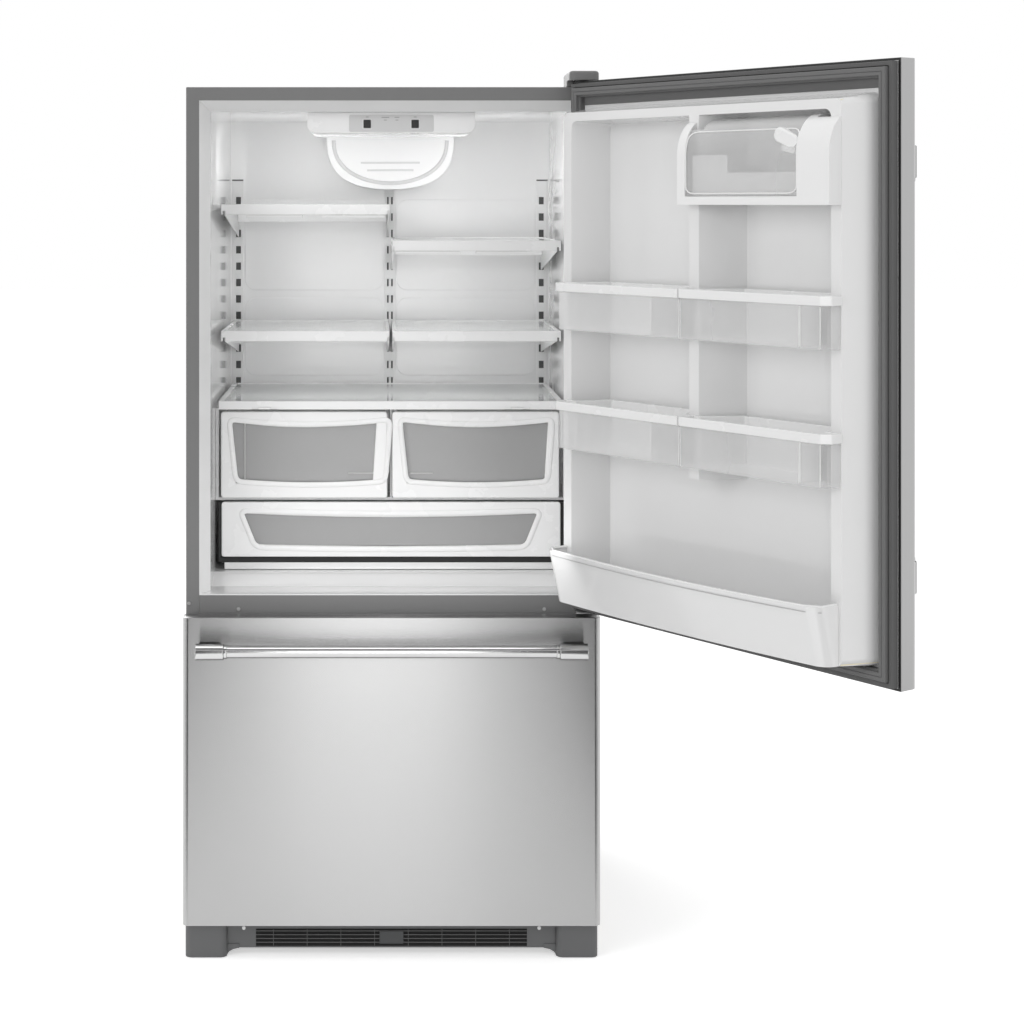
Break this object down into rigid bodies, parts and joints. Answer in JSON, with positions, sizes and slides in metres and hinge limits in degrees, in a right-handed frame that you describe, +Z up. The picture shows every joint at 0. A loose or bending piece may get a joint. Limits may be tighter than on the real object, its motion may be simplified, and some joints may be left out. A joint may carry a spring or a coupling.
{
  "type": "bottom freezer refrigerator",
  "caption": "Free-standing refrigerator with one hinged door over a pull-out freezer drawer, with shelves, crispers, door bins, dairy compartment and a running cooling system",
  "frame": {"origin": "on the floor, under the middle of the cabinet's width and depth", "axes": "+X to the right seen from the front, +Y into the cabinet, +Z up"},
  "size_m": [1.3218, 1.4381, 1.778],
  "materials": {
    "cabinet_paint": "satin grey enamel",
    "galvanised_sheet": "zinc coated sheet steel",
    "foam": "rigid polyurethane foam",
    "white_liner": "vacuum formed gloss white",
    "roller_nylon": "moulded nylon",
    "zinc_steel": "zinc plated",
    "grey_plastic": "satin moulded grey",
    "dark_plastic": "textured dark grey",
    "white_steel": "white powder coat",
    "white_plastic": "satin white moulding",
    "clear_white_plastic": "translucent white moulding",
    "clear_glass": "clear tempered glass",
    "clear_plastic": "clear moulded polystyrene",
    "frosted_plastic": "frosted white diffuser",
    "lamp_glass": "frosted bulb",
    "black_plastic": "gloss black",
    "bare_aluminium": "bare fin stock",
    "black_steel": "black enamel",
    "stainless": "horizontally brushed stainless steel",
    "polished_steel": "polished stainless steel",
    "grey_rubber": "soft grey vinyl gasket"
  },
  "bodies": {
    "cabinet": {"cabinet_shell": "cabinet_paint", "rear_panels": "galvanised_sheet", "cabinet_foam": "foam", "fresh_food_liner": "white_liner", "freezer_liner": "white_liner", "front_rails": "cabinet_paint", "base_frame": "galvanised_sheet", "toe_grille": "grey_plastic", "door_hinges": "zinc_steel", "top_hinge_cover": "dark_plastic", "shelf_ladders": "white_steel", "shelf_frames": "white_plastic", "glass_panes": "clear_glass", "shelf_brackets": "white_steel", "crisper_cover": "white_plastic", "control_housing": "white_plastic", "light_cover": "frosted_plastic", "lamp": "lamp_glass", "evaporator_cover": "white_plastic", "evaporator_coil": "bare_aluminium", "fan_motors": "zinc_steel", "compressor": "black_steel", "condenser_coil": "black_steel", "drain_pan": "dark_plastic", "slide_outer_members": "zinc_steel", "screws": "zinc_steel"},
    "fridge_door": {"door_skin": "stainless", "door_foam": "foam", "door_liner": "white_liner", "door_gasket": "grey_rubber", "door_handle": "polished_steel", "hinge_bushings": "roller_nylon", "door_bins": "clear_plastic", "bin_rims": "white_plastic", "dairy_housing": "clear_white_plastic"},
    "dairy_cover": {"dairy_lid": "clear_white_plastic"},
    "freezer_drawer": {"freezer_skin": "stainless", "freezer_foam": "foam", "freezer_inner": "white_liner", "freezer_gasket": "grey_rubber", "freezer_handle": "polished_steel", "freezer_basket": "white_plastic"},
    "slide_middles": {"slide_middle_members": "zinc_steel"},
    "freezer_sliding_tray": {"freezer_tray": "clear_plastic"},
    "left_crisper": {"crisper_left_front": "white_plastic", "crisper_left_bin": "clear_plastic"},
    "right_crisper": {"crisper_right_front": "white_plastic", "crisper_right_bin": "clear_plastic"},
    "pantry_drawer": {"pantry_front": "white_plastic", "pantry_bin": "clear_plastic"},
    "left_humidity_slider": {"humidity_slider_left": "white_plastic"},
    "right_humidity_slider": {"humidity_slider_right": "white_plastic"},
    "left_button": {"control_button_left": "black_plastic"},
    "right_button": {"control_button_right": "black_plastic"},
    "freezer_fan": {"evaporator_fan": "black_plastic"},
    "machine_fan": {"condenser_fan": "black_plastic"},
    "front_wheels": {"front_rollers": "roller_nylon"},
    "rear_wheels": {"rear_rollers": "roller_nylon"},
    "left_levelling_leg": {"levelling_leg_left": "zinc_steel"},
    "right_levelling_leg": {"levelling_leg_right": "zinc_steel"}
  },
  "joints": [
    {"name": "fridge_door_hinge", "type": "hinge", "parent": "cabinet", "child": "fridge_door", "pos_m": [0.3933, -0.3937, 1.2257], "axis": [0, 0, 1], "range_deg": [-125.1, 4.9]},
    {"name": "dairy_lid_hinge", "type": "hinge", "parent": "fridge_door", "child": "dairy_cover", "pos_m": [0.54211, -0.77778, 1.642], "axis": [-0.575, 0.8181, 0], "range_deg": [0, 85]},
    {"name": "freezer_drawer_slide", "type": "slide", "parent": "cabinet", "child": "freezer_drawer", "axis": [0, -1, 0], "range_m": [0, 0.43]},
    {"name": "middle_member_slide", "type": "slide", "parent": "cabinet", "child": "slide_middles", "axis": [0, -1, 0], "range_m": [0, 0.215]},
    {"name": "freezer_tray_slide", "type": "slide", "parent": "freezer_drawer", "child": "freezer_sliding_tray", "axis": [0, 1, 0], "range_m": [0, 0.075]},
    {"name": "left_crisper_slide", "type": "slide", "parent": "cabinet", "child": "left_crisper", "axis": [0, -1, 0], "range_m": [0, 0.22]},
    {"name": "right_crisper_slide", "type": "slide", "parent": "cabinet", "child": "right_crisper", "axis": [0, -1, 0], "range_m": [0, 0.22]},
    {"name": "pantry_drawer_slide", "type": "slide", "parent": "cabinet", "child": "pantry_drawer", "axis": [0, -1, 0], "range_m": [0, 0.22]},
    {"name": "left_humidity_slide", "type": "slide", "parent": "cabinet", "child": "left_humidity_slider", "axis": [1, 0, 0], "range_m": [-0.012, 0.012]},
    {"name": "right_humidity_slide", "type": "slide", "parent": "cabinet", "child": "right_humidity_slider", "axis": [1, 0, 0], "range_m": [-0.012, 0.012]},
    {"name": "left_button_press", "type": "slide", "parent": "cabinet", "child": "left_button", "axis": [0, 1, 0], "range_m": [0, 0.0015], "stiffness_N_per_m": 300},
    {"name": "right_button_press", "type": "slide", "parent": "cabinet", "child": "right_button", "axis": [0, 1, 0], "range_m": [0, 0.0015], "stiffness_N_per_m": 300},
    {"name": "freezer_fan_spin", "type": "hinge", "parent": "cabinet", "child": "freezer_fan", "pos_m": [0, 0.173, 0.548], "axis": [0, 1, 0], "continuous": true},
    {"name": "machine_fan_spin", "type": "hinge", "parent": "cabinet", "child": "machine_fan", "pos_m": [0.06, 0.226, 0.15], "axis": [1, 0, 0], "continuous": true},
    {"name": "front_wheel_roll", "type": "hinge", "parent": "cabinet", "child": "front_wheels", "pos_m": [0, -0.299, 0.0175], "axis": [1, 0, 0], "continuous": true},
    {"name": "rear_wheel_roll", "type": "hinge", "parent": "cabinet", "child": "rear_wheels", "pos_m": [0, 0.289, 0.016], "axis": [1, 0, 0], "continuous": true},
    {"name": "left_leg_screw", "type": "hinge", "parent": "cabinet", "child": "left_levelling_leg", "pos_m": [-0.375, -0.381, 0], "axis": [0, 0, 1], "continuous": true},
    {"name": "right_leg_screw", "type": "hinge", "parent": "cabinet", "child": "right_levelling_leg", "pos_m": [0.375, -0.381, 0], "axis": [0, 0, 1], "continuous": true}
  ],
  "couplings": [
    {"joint": "middle_member_slide", "follows": "freezer_drawer_slide", "ratio": 0.5}
  ]
}
